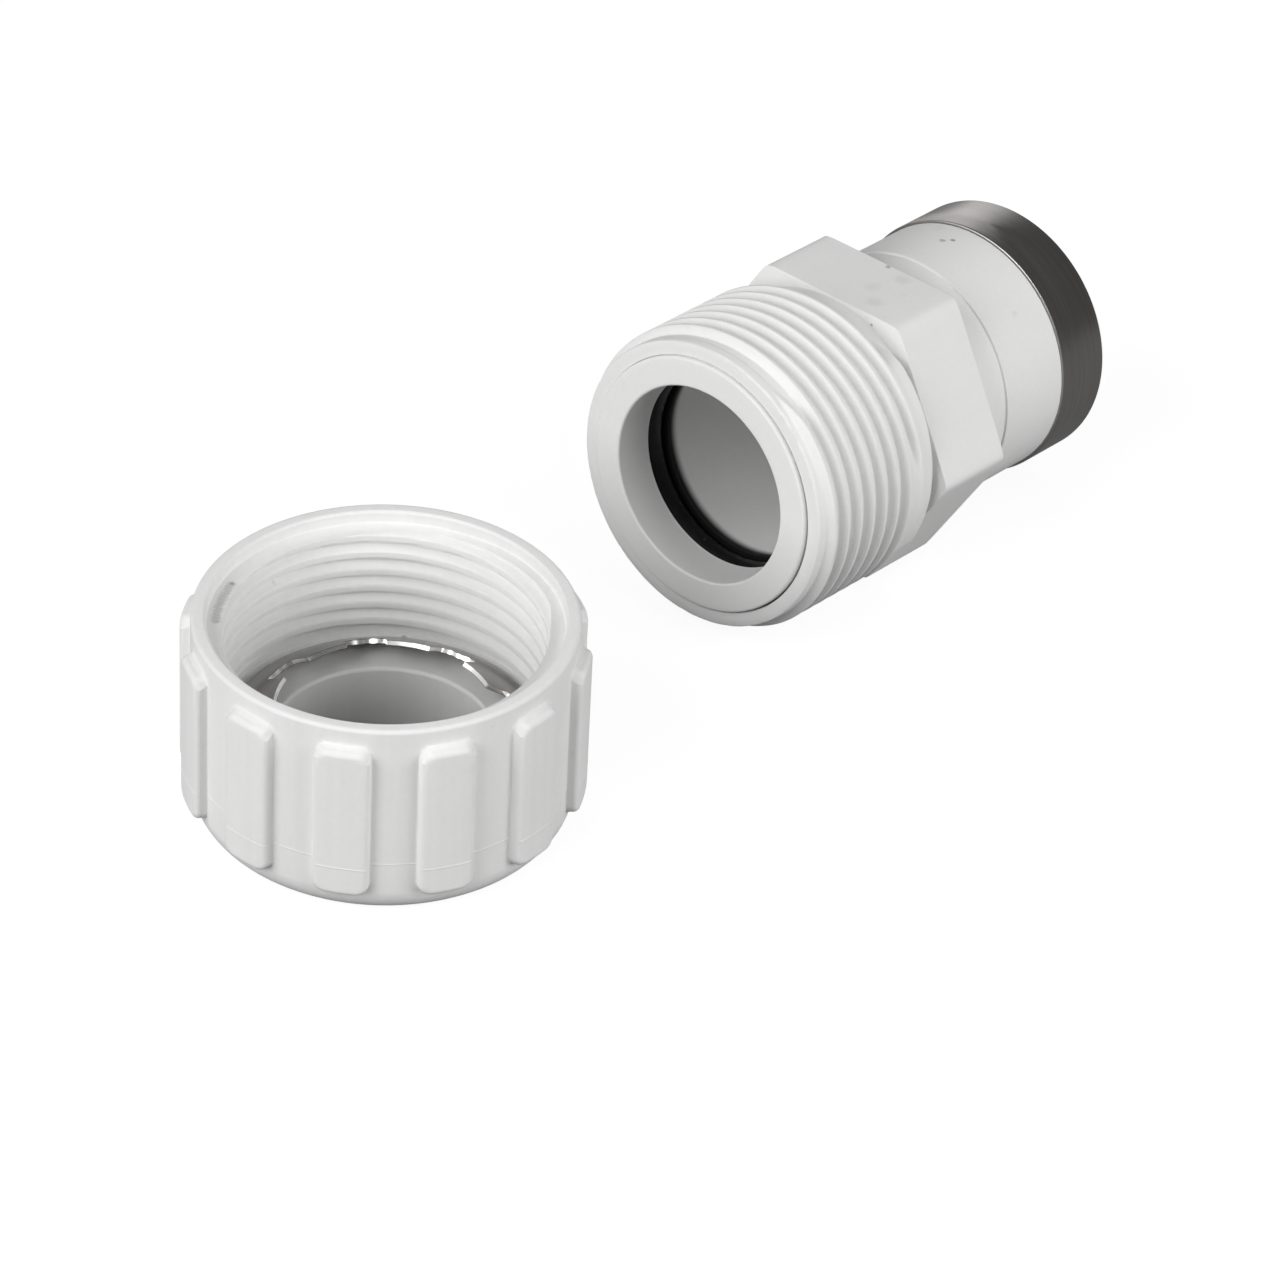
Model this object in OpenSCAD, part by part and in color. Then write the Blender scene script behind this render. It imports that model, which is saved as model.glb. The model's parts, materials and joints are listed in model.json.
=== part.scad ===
// Compression adapter that grips a plain plastic pipe and ends in a female pipe thread.
// It lies on its side with its coupling nut taken off and standing mouth up beside it.
// Row frame: +X runs along the adapter from its mouth, +Z up, and the floor is z = 0.
// The origin is under the centre of both pieces. Millimetres throughout.

/* [Pipe] */
// Outside diameter of the pipe that the adapter takes
pipe_d = 26.67; // [25.5:0.01:28]
// Gap round the pipe in the adapter's bore
pipe_gap = 0.165; // [0.1:0.005:0.4]
// Gap round the pipe in the seal retainer
retainer_gap = 0.265; // [0.15:0.005:0.5]
// Gap round the pipe in the nut's hole
nut_hole_gap = 0.265; // [0.15:0.005:0.5]

/* [Seal] */
// Thickness of the O-ring's cord
cord_d = 4; // [3:0.05:4.6]
// Gap between the relaxed O-ring and the bore line
cord_clear = 0.12; // [0.05:0.01:0.3]
// Gap between the counterbore and what slides in it
seal_clear = 0.13; // [0.05:0.01:0.3]
// Length of the seal retainer
retainer_len = 5.95; // [4:0.05:9]
// How far the retainer stands out of the mouth
retainer_proud = 0.6; // [0.2:0.05:2]
// Bevel on the retainer's edges
retainer_bevel = 0.35; // [0.1:0.05:0.6]

/* [Coupling thread] */
// Pitch of the coupling thread
pitch = 2.54; // [2:0.01:3]
// Height of the thread from root to crest
thread_depth = 1.37; // [1:0.01:1.6]
// Width of the flat on a thread crest
crest_flat = 0.55; // [0.3:0.05:0.8]
// Number of ridges on the adapter
ridges = 7; // [5:1:9]
// Radial gap between the two threads
thread_gap = 0.25; // [0.15:0.01:0.4]
// Wall between the counterbore and the thread root
mouth_wall = 1.72; // [1.2:0.05:3]

/* [Adapter body] */
// Plain lip ahead of the first ridge
lip_len = 1.55; // [1:0.05:3]
// How far the lip stands above the thread root
lip_proud = 0.25; // [0.1:0.05:0.5]
// Rounding of the lip's outer edge
lip_round = 0.6; // [0.3:0.05:0.8]
// Depth of the plain neck behind the thread, below the thread root
relief_depth = 0.53; // [0.1:0.01:0.8]
// Length of the plain neck behind the thread
relief_len = 4.6; // [3:0.1:8]
// Height of a hexagon flat above that neck
hex_step = 0.3; // [0.02:0.01:1]
// Length of the hexagon
hex_len = 12.15; // [8:0.05:18]
// Cut taken off each hexagon corner
corner_cut = 0.3; // [0.1:0.05:1]
// Wall round the pipe bore behind the hexagon
neck_wall = 3.7; // [3:0.05:5]
// Length of the narrow stretch behind the hexagon
neck_len = 6.2; // [4:0.1:10]
// Length of the threaded socket at the rear
socket_len = 20.4; // [18:0.1:28]
// Rounding of the socket's front edge
socket_round = 0.35; // [0.1:0.05:0.5]
// Bevel round the ends of the pipe bore
bore_bevel = 0.2; // [0.1:0.05:1]
// Thickness of the stop that the pipe's end meets
stop_len = 5.5; // [3:0.1:9]
// Height of that stop above the bore
stop_height = 2.4; // [1.5:0.1:3]

/* [Female port] */
// Radius of the port's thread crests
port_r = 12.1; // [11.5:0.05:12.6]
// Pitch of the port's thread
port_pitch = 1.814; // [1.5:0.001:2.2]
// Height of the port's thread
port_thread = 1.15; // [0.8:0.01:1.3]
// Width of a crest flat in the port
port_flat = 0.45; // [0.3:0.05:0.6]
// Width of a groove's floor in the port
port_floor = 0.25; // [0.1:0.05:0.4]
// Number of grooves in the port
port_turns = 8; // [6:1:9]
// Wall outside the port's thread
port_wall = 4.3; // [3:0.05:6]
// Plain stretch at the port's mouth
port_lead = 1.1; // [0.6:0.1:2]

/* [Reinforcing band] */
// Thickness of the stainless band
band_thick = 0.55; // [0.3:0.05:1]
// Width of the band
band_len = 8.6; // [5:0.1:12]
// Depth of the seat that the band sits in
band_inset = 0.2; // [0.1:0.05:0.4]
// Gap between the band and its seat
band_gap = 0.03; // [0.01:0.01:0.1]

/* [Coupling nut] */
// Height of the nut
nut_h = 28.6; // [26:0.1:34]
// Wall outside the nut's thread
nut_wall = 3; // [2.2:0.05:4]
// Depth of the grip ring's seat below the rim
seat_depth = 18.2; // [17:0.1:20]
// How far the mouth opens beyond the thread
mouth_flare = 1.35; // [0.8:0.05:1.8]
// Depth of the plain mouth above the thread
mouth_len = 2; // [1.2:0.1:3]
// Rounding of the rim
rim_round = 1; // [0.5:0.05:1.2]
// Rounding of the foot
foot_round = 4.2; // [2:0.1:5]
// Rounding at the ends of the pipe hole
hole_round = 0.5; // [0.2:0.05:1]

/* [Nut ribs] */
// Number of ribs round the nut
rib_count = 12; // [8:1:16]
// Width of a rib
rib_w = 6.7; // [4:0.1:8]
// Height of a rib above the nut's wall
rib_h = 1.5; // [0.8:0.05:2.5]
// Rounding of a rib's long edges
rib_round = 0.7; // [0.3:0.05:0.8]
// Distance from the rim to the top of the ribs
rib_top = 2.4; // [1.5:0.1:4]
// Distance from the foot to the bottom of the ribs
rib_foot = 4.3; // [3:0.1:8]
// Height of the slope at each end of a rib
rib_slope = 0.6; // [0.2:0.05:1.5]
// Bevel along the outer edge of each slope
rib_bevel = 0.5; // [0.2:0.05:1]
// Turn of the first rib away from +X
rib_turn = 1; // [-15:0.5:15]

/* [Grip ring] */
// Thickness of the grip ring's sheet
ring_thick = 0.6; // [0.4:0.05:1]
// Gap between the ring and the nut's thread crests
ring_gap = 0.25; // [0.1:0.05:0.6]
// Slope of the ring's cone
ring_slope = 32; // [20:1:40]
// Gap between the teeth and the pipe
tooth_gap = 0.035; // [0:0.005:0.1]
// Number of teeth
teeth = 8; // [6:1:12]
// Angle taken out between two teeth
notch_angle = 20; // [10:1:24]
// Depth of the gaps between teeth
notch_depth = 2.6; // [1.5:0.1:3.5]
// Turn of the first tooth away from +X
tooth_turn = -15; // [-22:0.5:22]

/* [Layout] */
// Distance along X from the nut's axis to the adapter's mouth
stand_off = 56.1; // [48:0.1:70]
// Distance across from the nut's axis to the adapter's axis
side_off = 3.1; // [0:0.1:3.5]

/* [Hidden] */
$fn = 96;
part_colour = [0.86, 0.86, 0.85];
retainer_colour = [0.83, 0.83, 0.82];
rubber_colour = [0.05, 0.05, 0.05];
steel_colour = [0.62, 0.61, 0.6];
arc_steps = 5;
overlap = 1;

// Bores and the seal, from the pipe outwards
pipe_r = pipe_d / 2;
bore_r = pipe_r + pipe_gap;
cord_r = cord_d / 2;
seal_r = bore_r + cord_clear + cord_r;
seat_r = seal_r + cord_r + seal_clear;
retainer_r = seat_r - seal_clear;
retainer_bore_r = pipe_r + retainer_gap;
seat_len = retainer_len - retainer_proud + cord_d;

// Coupling thread
root_r = seat_r + mouth_wall;
crest_r = root_r + thread_depth;
lip_r = root_r + lip_proud;
flank = thread_depth * tan(30);
ridge_foot = crest_flat + 2 * flank;
first_ridge = lip_len + ridge_foot / 2;
thread_end = first_ridge + (ridges - 1) * pitch + ridge_foot / 2;

// Lengths along the adapter, from its mouth
relief_r = root_r - relief_depth;
hex_start = thread_end + relief_len;
hex_end = hex_start + hex_len;
socket_start = hex_end + neck_len;
body_len = socket_start + socket_len;
hex_r = (relief_r + hex_step) / cos(30);
neck_r = bore_r + neck_wall;

// Port, socket and band
port_root_r = port_r + port_thread;
port_foot = port_pitch - port_flat;
port_len = port_lead + port_turns * port_pitch + port_flat;
stop_start = body_len - port_len - stop_len;
stop_r = bore_r - stop_height;
socket_r = port_root_r + port_wall;
band_seat_r = socket_r - band_inset;
band_in_r = band_seat_r + band_gap;
band_out_r = band_in_r + band_thick;
band_start = body_len - band_len;

// Nut
nut_major_r = crest_r + thread_gap;
nut_minor_r = root_r + thread_gap;
nut_r = nut_major_r + nut_wall;
nut_mouth_r = nut_major_r + mouth_flare;
nut_hole_r = pipe_r + nut_hole_gap;
seat_z = nut_h - seat_depth;
ring_r = nut_minor_r - ring_gap;
nut_ridges = floor((seat_depth - mouth_len - flank) / pitch);
thread_top = nut_h - mouth_len;
rib_r = nut_r + rib_h;

// Grip ring
tooth_r = pipe_r + tooth_gap;
ring_rise = (ring_r - tooth_r) * tan(ring_slope);
sheet_h = ring_thick / cos(ring_slope);

// The adapter rests on its last ridge and on the rear edge of its band
last_crest = thread_end - flank;
tilt = atan((crest_r - band_out_r) / (body_len - last_crest));
mouth_h = last_crest * sin(tilt) + crest_r * cos(tilt);
reach = body_len * cos(tilt) + band_out_r * sin(tilt);
mouth_x = (stand_off + rib_r - reach) / 2;
nut_x = mouth_x - stand_off;

// Points along an arc round [x, y], from angle a to angle b
function arc(x, y, r, a, b) = [for (i = [0 : arc_steps])
    [x + r * cos(a + (b - a) * i / arc_steps), y + r * sin(a + (b - a) * i / arc_steps)]];

// Profile points of n ridges that rise from radius low to radius high
function ridge_row(n, start, step, low, high, flat, foot) = [for (i = [0 : n - 1]) each [
    [low, start + i * step - foot / 2],
    [high, start + i * step - flat / 2],
    [high, start + i * step + flat / 2],
    [low, start + i * step + foot / 2]]];

function reversed(points) = [for (i = [len(points) - 1 : -1 : 0]) points[i]];

// Lays a piece that was drawn along +Z on the floor, where the adapter lies
module laid() {
    translate([mouth_x, -side_off, mouth_h])
        rotate([0, tilt, 0])
            rotate([90, 0, 90])
                children();
}

module body_profile() {
    outside = concat(
        arc(lip_r - lip_round, lip_round, lip_round, -90, 0),
        [[lip_r, lip_len - lip_proud], [root_r, lip_len]],
        ridge_row(ridges, first_ridge, pitch, root_r, crest_r, crest_flat, ridge_foot),
        [[relief_r, thread_end + relief_depth], [relief_r, hex_start + overlap],
         [neck_r, hex_start + overlap], [neck_r, socket_start]],
        arc(socket_r - socket_round, socket_start + socket_round, socket_round, -90, 0),
        [[socket_r, band_start], [band_seat_r, band_start], [band_seat_r, body_len]]);
    port = ridge_row(port_turns, body_len - port_lead - port_flat - port_foot / 2, -port_pitch,
        port_r, port_root_r, -port_floor, -port_foot);
    inside = concat(
        [[port_root_r, body_len], [port_r, body_len - port_lead]],
        port,
        [[port_r, stop_start + stop_len], [stop_r, stop_start + stop_len],
         [stop_r, stop_start], [bore_r, stop_start], [bore_r, seat_len + bore_bevel],
         [bore_r + bore_bevel, seat_len], [seat_r, seat_len], [seat_r, 0]]);
    polygon(concat(outside, inside));
}

module hexagon() {
    difference() {
        intersection() {
            cylinder(r = hex_r, h = hex_len, $fn = 6);
            cylinder(r = hex_r - corner_cut, h = hex_len);
        }
        translate([0, 0, -overlap]) cylinder(r = neck_r - overlap, h = hex_len + 2 * overlap);
    }
}

module adapter_body() {
    color(part_colour) laid() {
        rotate_extrude() body_profile();
        translate([0, 0, hex_start]) hexagon();
    }
}

// Loose ring that the nut drives against the O-ring
module seal_retainer() {
    color(retainer_colour) laid() translate([0, 0, -retainer_proud]) rotate_extrude() polygon([
        [retainer_bore_r, retainer_bevel],
        [retainer_bore_r + retainer_bevel, 0],
        [retainer_r - retainer_bevel, 0],
        [retainer_r, retainer_bevel],
        [retainer_r, retainer_len],
        [retainer_bore_r, retainer_len]]);
}

module o_ring() {
    color(rubber_colour) laid() translate([0, 0, seat_len - cord_r])
        rotate_extrude() translate([seal_r, 0]) circle(r = cord_r);
}

module reinforcing_band() {
    color(steel_colour) laid() translate([0, 0, band_start]) difference() {
        cylinder(r = band_out_r, h = band_len);
        translate([0, 0, -overlap]) cylinder(r = band_in_r, h = band_len + 2 * overlap);
    }
}

module nut_profile() {
    outside = concat(
        [[nut_hole_r + hole_round, 0]],
        arc(nut_r - foot_round, foot_round, foot_round, -90, 0),
        arc(nut_r - rim_round, nut_h - rim_round, rim_round, 0, 90));
    thread = ridge_row(nut_ridges, thread_top - ridge_foot / 2, -pitch,
        nut_major_r, nut_minor_r, -crest_flat, -ridge_foot);
    inside = concat(
        [[nut_mouth_r, nut_h], [nut_mouth_r - rim_round / 2, nut_h - rim_round / 2],
         [nut_mouth_r - rim_round / 2, thread_top + rim_round / 2], [nut_major_r, thread_top]],
        thread,
        [[nut_minor_r, thread_top - nut_ridges * pitch - flank], [nut_minor_r, seat_z]],
        reversed(arc(nut_hole_r + hole_round, seat_z - hole_round, hole_round, 180, 90)),
        [[nut_hole_r, hole_round]]);
    polygon(concat(outside, inside));
}

// Outline of one rib from above, with round outer corners on the rib circle
module rib_outline() {
    side = rib_w / 2 - rib_round;
    corner_x = sqrt(pow(rib_r - rib_round, 2) - pow(side, 2));
    turn = asin(side / (rib_r - rib_round));
    polygon(concat(
        [[nut_r - nut_wall / 2, -rib_w / 2]],
        arc(corner_x, -side, rib_round, -90, -turn),
        arc(0, 0, rib_r, -turn, turn),
        arc(corner_x, side, rib_round, turn, 90),
        [[nut_r - nut_wall / 2, rib_w / 2]]));
}

// Ring that gives the ribs their sloping, bevelled ends
module rib_ring() {
    top = nut_h - rib_top;
    edge_r = rib_r - rib_bevel;
    rise = rib_slope * (rib_h - rib_bevel) / rib_h;
    past = rib_bevel + overlap;
    rotate_extrude() polygon([
        [nut_r - nut_wall / 2, rib_foot],
        [nut_r, rib_foot],
        [edge_r, rib_foot + rise],
        [edge_r + past, rib_foot + rise + past],
        [edge_r + past, top - rise - past],
        [edge_r, top - rise],
        [nut_r, top],
        [nut_r - nut_wall / 2, top]]);
}

module coupling_nut() {
    color(part_colour) translate([nut_x, 0, 0]) {
        rotate_extrude() nut_profile();
        intersection() {
            rib_ring();
            for (i = [0 : rib_count - 1])
                rotate([0, 0, rib_turn + i * 360 / rib_count])
                    linear_extrude(nut_h) rib_outline();
        }
    }
}

// Toothed spring ring that bites the pipe, lying loose on its seat in the nut
module grip_ring() {
    color(steel_colour) translate([nut_x, 0, seat_z]) difference() {
        rotate_extrude() polygon([
            [ring_r, 0],
            [ring_r, sheet_h],
            [tooth_r, sheet_h + ring_rise],
            [tooth_r, ring_rise]]);
        for (i = [0 : teeth - 1])
            rotate([0, 0, tooth_turn + (i + 0.5) * 360 / teeth - notch_angle / 2])
                translate([0, 0, -overlap])
                    rotate_extrude(angle = notch_angle)
                        square([tooth_r + notch_depth, ring_rise + sheet_h + 2 * overlap]);
    }
}

adapter_body();
seal_retainer();
o_ring();
reinforcing_band();
coupling_nut();
grip_ring();
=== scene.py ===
import json
from math import asin, ceil, cos, hypot, pi, radians, sin, tan, tau

import bmesh
import bpy
from bpy.props import FloatProperty, FloatVectorProperty, IntProperty, PointerProperty
from bpy.types import Operator, Panel, PropertyGroup
from mathutils import Matrix, Vector, noise


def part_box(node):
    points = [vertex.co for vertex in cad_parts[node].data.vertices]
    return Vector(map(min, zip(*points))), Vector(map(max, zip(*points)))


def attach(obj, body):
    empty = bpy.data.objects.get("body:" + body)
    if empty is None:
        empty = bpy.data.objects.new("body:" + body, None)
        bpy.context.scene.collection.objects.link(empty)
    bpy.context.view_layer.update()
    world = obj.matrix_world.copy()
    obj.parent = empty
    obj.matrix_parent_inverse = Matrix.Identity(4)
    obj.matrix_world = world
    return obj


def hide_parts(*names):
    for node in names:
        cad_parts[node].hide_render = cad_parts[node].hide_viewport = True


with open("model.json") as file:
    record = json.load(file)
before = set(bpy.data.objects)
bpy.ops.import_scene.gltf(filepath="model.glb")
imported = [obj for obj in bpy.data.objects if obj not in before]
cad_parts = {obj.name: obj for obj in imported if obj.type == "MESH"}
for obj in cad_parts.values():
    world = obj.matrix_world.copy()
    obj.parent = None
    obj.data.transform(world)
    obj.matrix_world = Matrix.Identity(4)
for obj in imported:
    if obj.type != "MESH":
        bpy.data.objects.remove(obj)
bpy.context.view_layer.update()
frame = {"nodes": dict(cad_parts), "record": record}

bl_info = {
    "name": "Pipe adapter and coupling nut",
    "version": (1, 0, 0),
    "blender": (4, 5, 0),
    "location": "View3D > Sidebar > Adapter",
    "description": "Dresses a pipe compression adapter and its loose nut with threads and finishes",
    "category": "Add Mesh",
}

MM = 0.001
MOUNTS = {mount["name"]: mount for mount in frame["record"]["mounts"]}
AXIS = Vector(MOUNTS["rear_port"]["axis"]).normalized()
ON_AXIS = Vector(MOUNTS["pipe_bore"]["pos_m"])
BORE_R = MOUNTS["pipe_bore"]["dims"]["r_mm"] * MM
PORT_R = MOUNTS["rear_port"]["dims"]["r_mm"] * MM
HOLE_R = MOUNTS["nut_hole"]["dims"]["r_mm"] * MM
NUT_LOW, NUT_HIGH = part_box("coupling_nut")
RING_LOW, RING_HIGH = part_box("grip_ring")
NUT_CENTRE = Vector(((NUT_LOW.x + NUT_HIGH.x) / 2, (NUT_LOW.y + NUT_HIGH.y) / 2, 0))
NUT_H = NUT_HIGH.z
RIB_R = (NUT_HIGH.x - NUT_LOW.x) / 2
SEAT_Z = RING_LOW.z
RING_R = (RING_HIGH.x - RING_LOW.x) / 2


def reach(node):
    """Lowest place, highest place and largest radius of a node along the adapter's axis."""
    places = []
    radii = []
    for vertex in frame["nodes"][node].data.vertices:
        off = vertex.co - ON_AXIS
        place = off.dot(AXIS)
        places.append(place)
        radii.append((off - AXIS * place).length)
    return min(places), max(places), max(radii)


MOUTH_PLACE, REAR_PLACE, _ = reach("adapter_body")
BODY_LEN = REAR_PLACE - MOUTH_PLACE
MOUTH = ON_AXIS + AXIS * MOUTH_PLACE
RETAINER_FRONT, RETAINER_BACK, RETAINER_R = reach("seal_retainer")
CORD_FRONT, CORD_BACK, CORD_OUT_R = reach("o_ring")
BAND_FRONT, BAND_BACK, BAND_R = reach("reinforcing_band")

# The adapter's own frame has Z along its axis, X to the side and Y up
SIDE = Vector((0, 1, 0))
UP = AXIS.cross(SIDE)
LAID = Matrix.Translation(MOUTH) @ Matrix((SIDE, UP, AXIS)).transposed().to_4x4()

# The point in the middle of the picture, and the one that the lights face
SEEN_POINT = Vector((0.0008, -0.0012, 0.0006))
LIT_POINT = Vector((0, 0, 0.02))

# Points closer than WELD become one. Edges bent by more than SHARP aren't shaded smooth.
WELD = 0.0015 * MM
SHARP = radians(35)

# Steps round the body, the small rings and the grip ring, then steps along one thread pitch
TURN_STEPS = 264
SMALL_STEPS = 240
GRIP_STEPS = 480
THREAD_STEPS = 14
NUT_THREAD_STEPS = 13
PORT_STEPS = 10


def size(name, mm, text):
    """A length that a user can change, given in millimetres."""
    return FloatProperty(name=name, description=text, default=mm * MM, min=0.0,
                         unit="LENGTH", precision=5)


def angle(name, deg, text):
    """An angle that a user can change, given in degrees."""
    return FloatProperty(name=name, description=text, default=radians(deg), unit="ROTATION")


def number(name, value, text):
    """A plain number that a user can change."""
    return FloatProperty(name=name, description=text, default=value)


def count(name, value, text):
    """A whole number that a user can change."""
    return IntProperty(name=name, description=text, default=value, min=1)


def colour(name, value, text):
    """A colour that a user can change."""
    return FloatVectorProperty(name=name, description=text, default=value, size=3,
                               subtype="COLOR", min=0.0, max=1.0)


class BodySizes(PropertyGroup):
    """Sizes of the adapter body, measured from its mouth."""
    pitch: size("Thread pitch", 2.54, "Distance from one ridge of the coupling thread to the next")
    root_r: size("Thread root", 19.65, "Radius at the bottom of the coupling thread")
    crest_r: size("Thread crest", 20.78, "Radius at the top of the coupling thread")
    starts: count("Starts", 2, "Number of ridges side by side")
    crest_flat: size("Crest width", 0.3, "Width of the flat on a ridge")
    groove_flat: size("Groove width", 0.5, "Width of the floor of a groove")
    start: size("Thread start", 1.43, "Distance from the mouth to where the ridges start")
    start_turn: angle("Start angle", 116, "Angle at which the first ridge starts")
    turns: number("Turns", 3.75, "Number of turns of each ridge of the coupling thread")
    fade: number("Thread fade", 0.055, "Share of a turn over which a ridge rises and dies out")
    land_from: angle("Land start", 116, "Angle at which the land behind the thread starts")
    land_to: angle("Land end", 222, "Angle at which the land behind the thread ends")
    land_fade: angle("Land fade", 16, "Angle over which the land rises and dies out")
    land_end: size("Land back", 22.7, "Distance from the mouth to the back of that land")
    land_below: size("Land below crest", 0.12, "How far the land lies below the ridges")
    land_ease: size("Land front slope", 0.5, "Length over which the land rises from a groove")
    land_slope: size("Land back slope", 0.8, "Length over which the land falls to the neck")
    groove_end: angle("Groove end", 165, "Angle at which the last groove runs out in the land")
    groove_fade: angle("Groove fade", 18, "Angle over which that groove gets shallow")
    lip_r: size("Lip radius", 19.72, "Radius of the plain lip round the mouth")
    lip_len: size("Lip length", 1.55, "Length of the plain lip round the mouth")
    lip_back: size("Lip edge set back", 0.06, "How far the lip's ragged edge lies back")
    ragged: size("Ragged edge", 0.04, "Height of the roughness of the lip's edge")
    torn: size("Torn edge", 0.11, "Further height of that roughness where the lip is torn")
    torn_turn: angle("Torn angle", 125, "Angle of the middle of the torn stretch")
    seat_r: size("Counterbore radius", 17.75, "Radius of the counterbore for the seal")
    seat_len: size("Counterbore depth", 9.35, "Depth of the counterbore for the seal")
    bore_bevel: size("Bore bevel", 0.2, "Bevel round the ends of the pipe bore")
    thread_end: size("Thread end", 18.92, "Distance from the mouth to the end of the full ridges")
    relief_r: size("Relief radius", 18.94, "Radius of the plain neck behind the thread")
    hex_start: size("Hexagon start", 23.52, "Distance from the mouth to the hexagon")
    hex_end: size("Hexagon end", 35.67, "Distance from the mouth to the hexagon's back")
    hex_flat: size("Hexagon flat", 19.24, "Distance from the axis to a flat of the hexagon")
    hex_corner: size("Hexagon corner", 22.05, "Radius at which the hexagon's corners are cut")
    hex_edge: size("Hexagon edge", 0.12, "Rounding of the hexagon's end edges")
    neck_r: size("Neck radius", 17.2, "Radius of the narrow stretch behind the hexagon")
    socket_start: size("Socket start", 41.87, "Distance from the mouth to the socket")
    socket_r: size("Socket radius", 17.55, "Radius of the socket round the rear port")
    band_seat_r: size("Band seat radius", 17.35, "Radius of the seat under the steel band")
    stop_start: size("Stop start", 40.71, "Distance from the mouth to the pipe stop")
    stop_len: size("Stop length", 5.5, "Length of the pipe stop")
    stop_r: size("Stop radius", 11.1, "Radius of the waterway through the pipe stop")
    edge: size("Edge", 0.3, "Rounding of the edges in the bore and at the rear")
    port_pitch: size("Port pitch", 1.814, "Pitch of the thread in the rear port")
    port_turns: number("Port turns", 9.6, "Number of turns of the rear port's thread")
    port_turn: angle("Port angle", 108, "Angle at which the rear port's thread starts")
    port_crest: size("Port crest width", 0.45, "Width of the flat on a ridge in the rear port")
    port_groove: size("Port groove width", 0.25, "Width of a groove's floor in the rear port")
    port_fade: number("Port thread fade", 0.1, "Share of a turn over which that ridge rises")
    port_root_r: size("Port root", 13.25, "Radius at the bottom of the rear port's thread")
    port_lead: size("Port lead", 1.1, "Length of the flared mouth of the rear port")


class SealSizes(PropertyGroup):
    """Sizes of the seal retainer and the O-ring."""
    retainer_bore_r: size("Retainer bore", 13.6, "Radius of the hole through the retainer")
    retainer_round: size("Retainer edge", 0.35, "Rounding of the retainer's edges")
    retainer_off: size("Retainer offset", 0.11, "How far the loose retainer lies to one side")
    retainer_side: angle("Retainer side", 75, "Angle of the side that the retainer lies to")
    retainer_bead: size("Retainer bead", 0.03, "Height of the bead round the retainer's back edge")
    cord_r: size("Cord radius", 2.0, "Radius of the O-ring's cord")


class BandSizes(PropertyGroup):
    """Sizes of the reinforcing band."""
    thickness: size("Thickness", 0.55, "Thickness of the steel band")
    edge: size("Edge", 0.25, "Rounding of the band's outer edges")


class NutSizes(PropertyGroup):
    """Sizes of the coupling nut, measured up from its foot."""
    wall_r: size("Wall radius", 24.09, "Radius of the nut between its ribs")
    major_r: size("Thread root", 21.09, "Radius at the bottom of the nut's thread")
    minor_r: size("Thread crest", 20.05, "Radius at the top of the nut's thread")
    mouth_r: size("Mouth radius", 22.44, "Radius of the plain mouth above the thread")
    mouth_len: size("Mouth depth", 2.0, "Depth of the plain mouth above the thread")
    rim_round: size("Rim edge", 0.6, "Rounding of the rim's outer edge")
    foot_round: size("Foot edge", 4.2, "Rounding of the foot's outer edge")
    hole_round: size("Hole edge", 0.5, "Rounding at the ends of the pipe hole")
    pitch: size("Thread pitch", 2.54, "Distance from one ridge of the nut's thread to the next")
    starts: count("Starts", 2, "Number of ridges side by side")
    crest_flat: size("Crest width", 0.8, "Width of the flat on a ridge")
    groove_flat: size("Groove width", 0.3, "Width of the floor of a groove")
    fade: number("Thread fade", 0.12, "Share of a turn over which a ridge rises and dies out")
    thread_low: size("Thread bottom", 11.2, "Height at which the thread starts")
    thread_turn: angle("Thread angle", 84.4, "Angle at which a ridge is at its stated height")
    thread_height: size("Ridge height", 26.4, "Height of the top ridge at that angle")
    ribs: count("Ribs", 12, "Number of ribs round the nut")
    rib_w: size("Rib width", 6.7, "Width of a rib")
    rib_round: size("Rib edge", 0.7, "Rounding of a rib's edges")
    rib_lean: size("Rib end lean", 0.25, "How far the top end of a rib leans back")
    rib_bend: size("Rib end bend", 0.85, "Rounding at the top of that lean")
    rib_corner: size("Rib corner", 1.5, "Rounding of a rib's four corners")
    rib_top: size("Rib top", 2.4, "Distance from the rim to the top of the ribs")
    rib_foot: size("Rib bottom", 4.3, "Height of the bottom of the ribs")
    rib_turn: angle("Rib angle", 1.0, "Angle of the first rib")
    seam_height: size("Seam height", 8.5, "Height of the mould's parting line")
    seam: size("Seam", 0.05, "How far the mould's parting line stands out")
    seam_half: size("Seam half width", 0.12, "Distance from that line over which it falls off")


class GripSizes(PropertyGroup):
    """Sizes of the toothed grip ring."""
    sheet: size("Sheet", 0.6, "Thickness of the ring's sheet")
    slope: angle("Slope", 32, "Slope of the ring's cone")
    tooth_r: size("Tooth radius", 13.37, "Radius at the tips of the teeth")
    teeth: count("Teeth", 8, "Number of teeth")
    notch: angle("Notch", 20, "Angle of the gap between two teeth")
    notch_depth: size("Notch depth", 2.6, "Depth of the gaps between the teeth")
    tooth_turn: angle("Tooth angle", -15, "Angle of the first tooth")
    burr: size("Burr", 0.12, "Height of the torn edges of the teeth")
    cut_lean: size("Cut lean", 0.45, "How far the cut edges lean back from bottom to top")
    gap_edge: angle("Gap edge", 1.6, "Angle over which a tooth ends and a gap starts")
    gap_wave: size("Gap wave", 0.25, "Unevenness of the floor of the gaps")


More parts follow.
